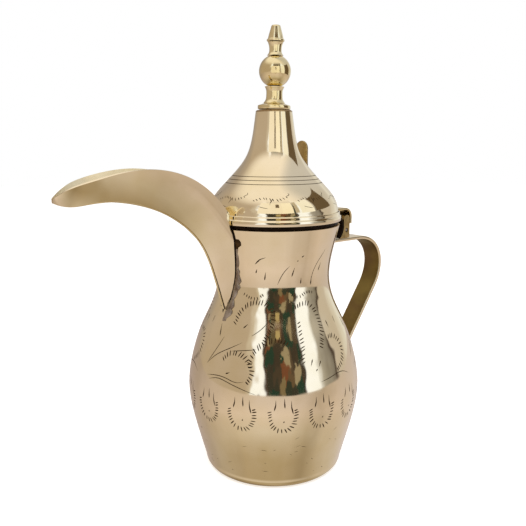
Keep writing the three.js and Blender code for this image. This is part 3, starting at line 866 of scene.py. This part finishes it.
def pot_wall():
    """The profile of the pot's closed wall, and which of its steps are polished skin."""
    foot = FOOT_RADIUS - CORNER
    inside_corner = arc(foot, CORNER, CORNER - BASE_THICKNESS, -90, 0, 8)
    inside = [q for q in offset(POT_OUTLINE, SHEET)[::3] if CORNER + 1 < q[1] < RIM_HEIGHT - 3.2]
    mouth = 40.6
    lip = [
        (RIM_RADIUS - 0.4, 0.17), (RIM_RADIUS - 1.2, 0.2), (mouth + 0.3, 0.1), (mouth, -0.3), (mouth, -1.5),
        (mouth + 0.3, -1.8), (RIM_RADIUS - 1.7, -2.6),
    ]
    lip = [(radius, RIM_HEIGHT + up) for radius, up in lip]
    seat = BASE_RADIUS + GAP
    profile = [(seat, 0), *FOOT_CORNER, *POT_OUTLINE, *lip, *inside[::-1], *inside_corner[::-1]]
    profile.append((seat, BASE_THICKNESS))
    return profile, range(1, len(FOOT_CORNER) + len(POT_OUTLINE))


def add_pot():
    profile, skin = pot_wall()
    verts, faces, steps = revolve(profile, AROUND)
    indices = [SKIN if k in skin else LINING for k in steps]
    pot = piece("pot_body", "pot", POT_SHELLS, verts, faces, SHELL, indices)
    graver = Graver(Surface(np.concatenate([FOOT_CORNER, POT_OUTLINE])))
    for k in range(SCALLOPS):
        scallop(graver, 6 + 360 * k / SCALLOPS)
    for k in range(SPRAYS):
        spray(graver, 360 * k / SPRAYS)
    scuffs(graver, SCUFFS)
    carve(pot, graver, strainer_drills())


STRAINER_ROWS = [(126, 1), (134, 1), (142, 2), (150, 2), (158, 3)]  # height, holes
STRAINER_PITCH = 4.8
STRAINER_HOLE = 1.5  # radius


def strainer_drills():
    """Drills for the strainer holes behind the spout."""
    work = bmesh.new()
    radius = STRAINER_HOLE * MM
    for height, count in STRAINER_ROWS:
        for k in range(count):
            place = (-radius_at(POT_OUTLINE, height), (k - (count - 1) / 2) * STRAINER_PITCH, height)
            matrix = Matrix.Translation(Vector(place) * MM) @ Matrix.Rotation(math.pi / 2, 4, "Y")
            bmesh.ops.create_cone(
                work, cap_ends=True, segments=24, radius1=radius, radius2=radius, depth=10 * MM, matrix=matrix
            )
    mesh = bpy.data.meshes.new("drills")
    work.to_mesh(mesh)
    work.free()
    paint(mesh, SHELL, [LINING] * len(mesh.polygons))
    return mesh


add_pot()


# ---- lid
def lid_band(graver):
    """A running band of slanted nicks and small leaves round the dome."""
    motifs = 9
    for k in range(motifs):
        bearing = 360 * k / motifs - 2
        wave = [(bearing - 17, 183.6), (bearing - 8, 185.4), (bearing + 4, 184.6), (bearing + 13, 185.8)]
        graver.hatched(wave, 2.0, 2.3, 0.5, lean=0.7, side=-1.0)
        graver.drop([(bearing + 1, 184.5), (bearing - 1.5, 181.5), (bearing - 1, 180.6)], 0.6)
        graver.line([(bearing + 13, 185.8), (bearing + 16.5, 187), (bearing + 15, 187.8)], 0.4)
        graver.line([(bearing - 12, 180.2), (bearing - 6, 179.2), (bearing - 2, 178.8)], 0.3)


LID_RINGS = (192.4, 194.7, 196.9)
BORE = 2.3  # radius of the hole that the finial's rod passes through


def add_lid():
    shoulder = [(11.6, LID_TOP - 0.5), (10.9, LID_TOP), (BORE + 0.2, LID_TOP), (BORE, LID_TOP - 0.2)]
    inside = offset(LID_OUTLINE, SHEET)[::3]
    under = [(BORE, LID_TOP - SHEET), (inside[-1][0] - 0.6, LID_TOP - SHEET)]
    verts, faces, steps = revolve([*LID_OUTLINE, *shoulder, *under, *inside[::-1]], AROUND)
    indices = [SKIN if k < len(LID_OUTLINE) - 1 else LINING for k in steps]
    lid = piece("lid_bell", "lid", LID_SHELLS, verts, faces, SHELL, indices)
    graver = Graver(Surface(LID_OUTLINE))
    for height in LID_RINGS:
        graver.ring(height)
    lid_band(graver)
    carve(lid, graver)


def add_lid_rings():
    step = FLANGE_RADIUS - 0.9
    seat = LID_OUTLINE[0][0] + GAP
    ledge = LID_OUTLINE[0][1] - GAP
    inner = 40.8
    bottom, top = FLANGE_BOTTOM - 0.3, FLANGE_TOP
    flange = [
        (inner, bottom), (FLANGE_RADIUS - 0.7, bottom), (FLANGE_RADIUS - 0.15, bottom + 0.25),
        (FLANGE_RADIUS, bottom + 0.8), (FLANGE_RADIUS, bottom + 2.8), (FLANGE_RADIUS - 0.2, bottom + 3.3),
        (step + 0.1, bottom + 3.6), (step, bottom + 4.0), (step, top - 0.7), (step - 0.15, top - 0.2),
        (seat + 0.3, top), (seat, top - 0.2), (seat, ledge), (inner, ledge),
    ]
    turned("lid_rim", "lid", ["lid_flange_band"], flange, POLISHED, AROUND, sharp=50.0)
    inner, wall, outer = 37.8, 38.8, high("lid_plug_ring", X)
    bottom, top = low("lid_plug_ring", Z), high("lid_plug_ring", Z)
    shoulder = RIM_HEIGHT + 0.5
    plug = [
        (inner, bottom + 0.2), (inner + 0.3, bottom), (wall - 0.2, bottom), (wall, bottom + 0.3),
        (wall, shoulder), (outer - 0.2, shoulder), (outer, shoulder + 0.2), (outer, top - 0.2),
        (outer - 0.2, top), (inner, top),
    ]
    # The plug is near-black: painted shade in the gap between the pot's rim and the lid's flange.
    turned("lid_plug", "lid", ["lid_plug_ring"], plug, PAINTED_SHADE, AROUND)


add_lid()
add_lid_rings()

# ---- spout
KEEL = smooth_line(
    [
        (149.8, 187.3), (145, 185.6), (129, 186.6), (107, 185.8), (82.5, 177.6), (57.9, 157), (47.3, 131.6),
        (41.9, 113.6),
    ],
    140,
)
TOP_EDGE = smooth_line(
    [
        (150, 189.4), (145.5, 192.8), (130, 198.9), (104, 203.2), (86, 202), (70.5, 197), (54, 184.8),
        (46.2, 175.5),
    ],
    140,
)
SPOUT_HALF_WIDTH = 9.0
SEAM_START = 0.6  # half width of the seam at its foot
TIP_TAPER = 24.0  # length over which the tip narrows
SEAM_FOOT, SEAM_FULL = 113, 158  # the seam widens between these heights
CLEAR_OF_LID = FLANGE_RADIUS + 0.9 - RIM_RADIUS


def smoothstep(value, start, end):
    t = min(max((value - start) / (end - start), 0), 1)
    return t * t * (3 - 2 * t)


def seam_half_width(height):
    risen = (min(height, SEAM_FULL) - SEAM_FOOT) / (SEAM_FULL - SEAM_FOOT)
    return SEAM_START + (SPOUT_HALF_WIDTH - 1.0) * risen


def seam_point(height):
    """Where the spout's inner face meets the neck, on the near side."""
    y = seam_half_width(height)
    clear = smoothstep(height, RIM_HEIGHT - 3, FLANGE_BOTTOM) * CLEAR_OF_LID
    radius = radius_at(POT_OUTLINE, height) + GAP + clear
    return np.array([-math.sqrt(radius * radius - y * y), -y, height])


def spout_grid():
    """Points of the near plate's inner face, from the tip to the neck and from the keel to the top edge."""
    count, rows = len(KEEL), 24
    keel_y = GAP / 2
    straight_low = np.array([-KEEL[-1][0], -keel_y, KEEL[-1][1]])
    straight_high = np.array([-TOP_EDGE[-1][0], -SPOUT_HALF_WIDTH, TOP_EDGE[-1][1]])
    grid = np.zeros((count, rows + 1, 3))
    for i, (keel, edge) in enumerate(zip(KEEL, TOP_EDGE)):
        reach = min(1, (KEEL[0][0] - edge[0]) / TIP_TAPER)
        edge_y = max(keel_y + 0.2, SPOUT_HALF_WIDTH * math.sin(max(reach, 0) * math.pi / 2))
        low_end = np.array([-keel[0], -keel_y, keel[1]])
        high_end = np.array([-edge[0], -edge_y, edge[1]])
        to_neck = (i / (count - 1)) ** 5
        for j in range(rows + 1):
            v = j / rows
            ruled = low_end + (high_end - low_end) * v
            straight = straight_low + (straight_high - straight_low) * v
            grid[i, j] = ruled + (seam_point(straight[2]) - straight) * to_neck
    return grid


def add_spout_plates():
    inner = spout_grid()
    rows, columns = inner.shape[:2]
    normal = np.cross(np.gradient(inner, axis=0), np.gradient(inner, axis=1))
    length = np.linalg.norm(normal, axis=2, keepdims=True)
    normal /= np.maximum(length, 1e-9)
    if normal[rows // 2, columns // 2, 1] > 0:
        normal = -normal
    verts = np.concatenate([inner, inner + normal * SHEET]).reshape(-1, 3)
    # The inner face's last rows and the edge against the neck are near-black: painted shade in the seam.
    inner_face, outer_face, seam_shade_face = range(3)
    seam_shade_from = rows - 4

    def index(layer, i, j):
        return (layer * rows + i) * columns + j

    faces, sides = [], []
    for i in range(rows - 1):
        for j in range(columns - 1):
            for layer in (inner_face, outer_face):
                around = ((i, j), (i + 1, j), (i + 1, j + 1), (i, j + 1))
                faces.append([index(layer, *corner) for corner in around])
                sides.append(seam_shade_face if layer == inner_face and i >= seam_shade_from else layer)
    border = [(i, 0) for i in range(rows)]
    border += [(rows - 1, j) for j in range(1, columns)]
    border += [(i, columns - 1) for i in range(rows - 2, -1, -1)]
    border += [(0, j) for j in range(columns - 2, 0, -1)]
    for here, there in zip(border, border[1:] + border[:1]):
        faces.append([index(0, *here), index(0, *there), index(1, *there), index(1, *here)])
        sides.append(seam_shade_face if here[0] == there[0] == rows - 1 else outer_face)
    materials = [SPOUT_IN, POLISHED, PAINTED_SHADE]
    for name, mirror in (("near", 1), ("far", -1)):
        nodes = [f"spout_{name}_plate"]
        mirrored = verts * (1, mirror, 1)
        piece(f"spout_{name}_side", "pot", nodes, mirrored, faces, materials, sides)


def lumps(count, size, step=3):
    """Random factors about 1 that change smoothly, drawn once in so many steps."""
    coarse = [1 + dice.uniform(-size, size) for _ in range(count // step + 3)]
    return np.interp(np.arange(count) / step, range(len(coarse)), coarse)


def add_spout_joints():
    below = KEEL[1:-2:2]
    count = len(below)
    drop = np.clip(np.arange(count) / 9, 0.12, 1)
    line = below + (offset(below, 0.75) - below) * drop[:, None]
    radii = 0.55 * lumps(count, 0.2) * drop * np.sin(np.linspace(0.5, math.pi - 0.15, count)) ** 0.25
    verts, faces = tube([(-x, 0, z) for x, z in line], radii)
    piece("spout_keel", "pot", ["spout_keel_braze"], verts, faces, [CAST], sharp=60.0)
    for name, side in (("near", -1), ("far", 1)):
        points, outs, radii = solder_line(side)
        verts, faces = tube(points, radii, around=18, squash=0.42, out=outs)
        # The near-black bead beside the seam is painted shade.
        line_verts, line_faces = tube(*seam_shade_bead(side), around=10)
        indices = [2 if verts[face[0]][2] > BLACK_TOP_FROM else 0 for face in faces] + [1] * len(line_faces)
        faces += [[len(verts) + i for i in face] for face in line_faces]
        piece(
            f"solder_{name}", "pot", [f"spout_solder_{name}"], verts + line_verts, faces,
            [SOLDER, PAINTED_SHADE, CUT], indices, sharp=70.0,
        )


def beside_spout(side, height, away, out):
    """A place on the neck beside the spout's seam, with the way out of the surface there."""
    y = side * (seam_half_width(height) + SHEET + away)
    radius = radius_at(POT_OUTLINE, height) + out
    x = -math.sqrt(radius * radius - y * y)
    return (x, y, height), (x / radius, y / radius, 0)


def seam_shade_bead(side):
    """A near-black bead in the corner between the spout and the neck: painted shade in the seam."""
    heights = np.linspace(111.5, 167.5, 60)
    points = [beside_spout(side, height, 0.25, 0.3)[0] for height in heights]
    taper = np.clip(np.minimum(heights - 111, 168 - heights) / 5, 0.1, 1)
    return points, 0.55 * lumps(len(heights), 0.2, 4) * taper


# Half the width of the solder by height.
SOLDER_WIDTHS = [
    (107, 1.6), (112, 2.3), (120, 1.7), (128, 2.3), (136, 2.1), (141, 1.1), (153, 0.9), (157.5, 2.4),
]
SOLDER_FOOT = {-1: 107, 1: 115}  # it starts lower on the near side
SOLDER_TOP = 159.5
BLACK_TOP_FROM = 153.0  # above this height it is drawn black-brown


def solder_line(side):
    """The uneven run of solder beside the spout, as centre points, outward directions and half widths."""
    heights = np.linspace(SOLDER_FOOT[side], SOLDER_TOP, 54)
    width = lumps(len(heights), 0.32, 2)
    points, outs, radii = [], [], []
    for k, height in enumerate(heights):
        half = float(np.interp(height, *zip(*SOLDER_WIDTHS))) * width[k]
        if k in (0, len(heights) - 1):
            half = 0.25
        point, out = beside_spout(side, height, GAP + half * 0.8, 0.15)
        points.append(point)
        outs.append(out)
        radii.append(half)
    return points, outs, radii


add_spout_plates()
add_spout_joints()

# ---- handle
HANDLE_THICKNESS = 2.35
HANDLE_TOP = 149.0
TAB_LENGTH = 13.0


def handle_line():
    """The middle of the handle, from the tab on the neck round to its free foot."""
    half = HANDLE_THICKNESS / 2
    tab_bottom = HANDLE_TOP - TAB_LENGTH

    def tab(height):
        return radius_at(POT_OUTLINE, height) + GAP + half

    line = [(tab(tab_bottom) + 0.2, tab_bottom), (tab(HANDLE_TOP - 4) + 0.3, HANDLE_TOP - 4)]
    line += bezier([line[-1], (tab(HANDLE_TOP) + 0.3, HANDLE_TOP), (45, HANDLE_TOP)])
    line.append((79, HANDLE_TOP))
    line += bezier([line[-1], (99.5, HANDLE_TOP), (111.6, 130.2), (97, 109.9)], 40)
    line.append((66, 67))
    line += bezier([line[-1], (59.8, 58.4), (59.4, 48)])
    return line


def add_handle():
    line = respaced(handle_line(), 220)
    verts, faces, sides = swept_strip(line, [STRAP_WIDTH / 2] * len(line), HANDLE_THICKNESS)
    shaded_side = 11  # the inner side of the bar, painted dark as shade and as the dark pot mirrored in it
    indices = [1 if side == shaded_side else 0 for side in sides]
    piece("handle", "pot", ["handle_strap"], verts, faces, [POLISHED, HANDLE_SHADE], indices)


add_handle()
for node in ("handle_top_solder", "handle_foot_solder", "base_solder_ring"):
    refined(node, SOLDER, 0.25)

# ---- hinge
PIN_X, _, PIN_Z = HINGE


def add_hinge():
    foot = (56.4, HANDLE_TOP + HANDLE_THICKNESS / 2 + GAP + 0.4)
    plate = respaced([foot, *bezier([foot, (62.4, 157), (58.6, 163.6)])], 30)
    verts, faces, _ = swept_strip(plate, [STRAP_WIDTH / 2] * len(plate), 1.4, 0.3)
    # The back plate is near-black all over: painted shade of the recess between the neck and the ears.
    piece("hinge_plate", "pot", ["hinge_back_plate"], verts, faces, [PAINTED_SHADE])
    for node in ("hinge_ear_near", "hinge_ear_far"):
        refined(node, SATIN, 0.35)
    half = high("hinge_pin", Y)
    radius = high("hinge_pin", Z) - PIN_Z
    chamfer = 0.4
    pin = [
        (0, -half), (radius * 0.7, -half), (radius, -half + chamfer), (radius, half - chamfer),
        (radius * 0.7, half), (0, half),
    ]
    across = Matrix.Translation(Vector((PIN_X, 0, PIN_Z)) * MM) @ Matrix.Rotation(math.pi / 2, 4, "X")
    turned("pin", "pot", ["hinge_pin"], pin, STEEL, 48, across)


add_hinge()

# ---- lid strap
STRAP_THICKNESS = 1.4
LEAF_X = 25.4
LEAF_TOP = high("lid_strap", Z)
ARCH = (62.7, 165.2, 6.0)  # centre and radius of the bend over the hinge
ARCH_START = 50.0  # the strap is cast from here on


def strap_line():
    """The middle of the strap, from the thumb leaf down the lid and over to the knuckle round the pin."""
    clear = STRAP_THICKNESS / 2 + GAP
    beside = offset(LID_OUTLINE, -clear)
    down = [q for q in beside[::-1] if 177 < q[1] < 199]
    line = [(LEAF_X, LEAF_TOP), (LEAF_X, 205)]
    line += bezier([(LEAF_X, 205), (LEAF_X + 0.2, 200.6), down[0]])
    line += down[1:]
    x, z, radius = ARCH
    line += bezier([down[-1], (45.4, z + radius + 0.6), (50, z + radius)])
    line += arc(x, z, radius, 90, 0, 16)
    knuckle = 1.25 + GAP + STRAP_THICKNESS / 2
    straight = (x + radius, PIN_Z + 5.3)
    line.append(straight)
    line += bezier([straight, (68.2, 159), (PIN_X + knuckle, 159), (PIN_X + knuckle, PIN_Z)])
    line += arc(PIN_X, PIN_Z, knuckle, 0, -255.6, 30)[1:]
    return line


def strap_half_width(z, past_arch):
    tongue, full, leaf = 4.9, STRAP_WIDTH / 2, 5.3
    if past_arch:
        return tongue if z < PIN_Z + 4.6 else full
    centre = LEAF_TOP - leaf
    if z > centre:
        return max(0.3, math.sqrt(max(leaf * leaf - (z - centre) ** 2, 0)))
    return float(np.interp(z, [176, 203], [full, leaf]))


def add_lid_strap():
    line = respaced(strap_line(), 260)
    half_widths = []
    past = False
    for x, z in line:
        past = past or x > ARCH[0]
        half_widths.append(strap_half_width(z, past))
    verts, faces, _ = swept_strip(line, half_widths, STRAP_THICKNESS, 0.35)
    indices = [1 if verts[face[0]][0] > ARCH_START else 0 for face in faces]
    piece("lid_leaf", "lid", ["lid_strap"], verts, faces, [SATIN, CAST], indices)


def add_rivets():
    """The strap's two rivets, with a domed head outside the lid and a flatter tail inside it."""
    shank, head, rise, tail, drop = 1.2, 2.5, 1.1, 2.0, 0.8
    outer = STRAP_THICKNESS + 2 * GAP
    inner = -SHEET - 2 * GAP
    quarter = math.pi / 2
    profile = [(0, inner - drop)]
    profile += [(tail * math.cos(a), inner - drop * math.sin(a)) for a in np.linspace(quarter, 0, 7)[1:]]
    profile += [(shank, inner), (shank, outer)]
    profile += [(head * math.cos(a), outer + rise * math.sin(a)) for a in np.linspace(0, quarter, 8)[:-1]]
    profile.append((0, outer + rise))
    for node, height in (("lid_strap_rivet_lower", 181.0), ("lid_strap_rivet_upper", 191.0)):
        above, below = radius_at(LID_OUTLINE, height + 1), radius_at(LID_OUTLINE, height - 1)
        tilt = Matrix.Rotation(math.atan2(2, below - above), 4, "Y")
        place = Vector((radius_at(LID_OUTLINE, height), 0, height)) * MM
        matrix = Matrix.Translation(place) @ tilt
        turned(node + "_domed", "lid", [node], profile, SATIN, 40, matrix)


add_lid_strap()
add_rivets()

# ---- finial
LEAN = math.radians(1.2)
LEAN_TOWARDS = math.radians(-42)
BALL_RADIUS = 10.1
BALL_HEIGHT = 262.1
BALL_MOUTH = 4.2  # radius of the flats at its top and bottom
ROD_BOTTOM, ROD_TOP, ROD_RADIUS, ROD_PITCH = 229.5, 285.4, 2.0, 0.8


def finial_lean():
    axis = Vector((-math.sin(LEAN_TOWARDS), math.cos(LEAN_TOWARDS), 0))
    foot = Vector((0, 0, LID_TOP * MM))
    return Matrix.Translation(foot) @ Matrix.Rotation(LEAN, 4, axis) @ Matrix.Translation(-foot)


def add_finial():
    lean = finial_lean()

    def add(name, node, profile):
        turned(name, "lid", [node], profile, CAST, SMALL_AROUND, lean)

    def bored(outside):
        return [(BORE, outside[0][1]), *outside, (BORE, outside[-1][1])]

    foot = LID_TOP + GAP
    collar = [
        (9.6, 0), (10.3, 0.3), (10.5, 0.8), (10.5, 2.1), (10.35, 2.5), (9.9, 2.8), (8.4, 3.2), (7.4, 3.6),
    ]
    add("collar", "finial_collar", bored([(radius, foot + up) for radius, up in collar]))
    half = math.sqrt(BALL_RADIUS**2 - BALL_MOUTH**2)
    foot, top = foot + 3.9, BALL_HEIGHT - half - GAP
    middle = (foot + top) / 2
    waist = [(6.9, foot + 0.3), (5.6, foot + 2.2), (5.2, middle), (5.4, top - 2), (6.1, top - 0.4)]
    add("stem", "finial_stem", bored([(6.6, foot), *smooth_line(waist, 24), (6.2, top)]))
    start = math.degrees(math.asin(BALL_MOUTH / BALL_RADIUS))
    ball = bored(arc(0, BALL_HEIGHT, BALL_RADIUS, start - 90, 90 - start, 48))
    add("ball", "finial_ball", ball + arc(0, BALL_HEIGHT, BALL_RADIUS - 1.3, 74, -74, 20))
    foot, top = BALL_HEIGHT + half + GAP, TIP_TOP - 10.4
    middle = (foot + top) / 2
    waist = [(5.2, foot), (4.1, foot + 1.8), (3.9, middle), (4.4, top - 1.2), (4.9, top)]
    add("finial_waist", "finial_neck", bored(smooth_line(waist, 20)))
    foot = top + GAP
    socket_top = ROD_TOP + GAP
    bead = [(4.8, 0), (5.4, 0.2), (5.6, 0.6), (5.6, 1.1), (5.35, 1.5), (4.95, 1.8)]
    cone = smooth_line([(4.8, foot + 2.4), (4.3, foot + 4.4), (3.3, TIP_TOP - 2.2), (2.9, TIP_TOP - 0.7)], 16)
    tip = [(0, socket_top), (BORE, socket_top), (BORE, foot)]
    tip += [(radius, foot + up) for radius, up in bead]
    add("tip", "finial_tip", [*tip, *cone, (2.5, TIP_TOP - 0.2), (1.8, TIP_TOP), (0, TIP_TOP)])
    add_fixings(lean)


def add_fixings(lean):
    """The threaded rod through the finial, with its washer and nut under the lid's top."""
    thread = [(0, ROD_BOTTOM), (ROD_RADIUS - 0.5, ROD_BOTTOM)]
    for k in range(int((ROD_TOP - ROD_BOTTOM - 1) / ROD_PITCH)):
        height = ROD_BOTTOM + 0.5 + ROD_PITCH * k
        thread += [(ROD_RADIUS - 0.3, height), (ROD_RADIUS, height + ROD_PITCH / 2)]
    thread += [(ROD_RADIUS - 0.4, ROD_TOP), (0, ROD_TOP)]
    turned("threaded_rod", "lid", ["finial_rod"], thread, STEEL, 24, lean, sharp=20.0)
    top, outer, edge = LID_TOP - SHEET - GAP, 7, 0.2
    bottom = top - 1
    washer = [
        (BORE, top - edge), (BORE, bottom + edge), (BORE + edge, bottom), (outer - edge, bottom),
        (outer, bottom + edge), (outer, top - edge), (outer - edge, top), (BORE + edge, top),
    ]
    turned("washer", "lid", ["finial_washer"], washer, STEEL, 64, lean)
    refined("finial_nut", STEEL, 0.3)


add_finial()


# ---- base
def add_base():
    """The base disc, spun with shallow grooves in its underside and dished a little inside."""
    radius, thick = BASE_RADIUS, BASE_THICKNESS
    profile = [
        (0, 0.25), (3, 0.25), (3.3, 0.05), (12, 0.05), (12.3, 0.25), (12.9, 0.25), (13.2, 0.05), (24, 0.05),
        (24.3, 0.22), (24.9, 0.22), (25.2, 0.02), (radius - 0.2, 0.0), (radius, 0.2), (radius, thick - 0.2),
        (radius - 0.2, thick), (0, thick - 0.1),
    ]
    turned("base_plate", "pot", ["base_disc"], profile, SATIN, 128, sharp=20.0)


add_base()
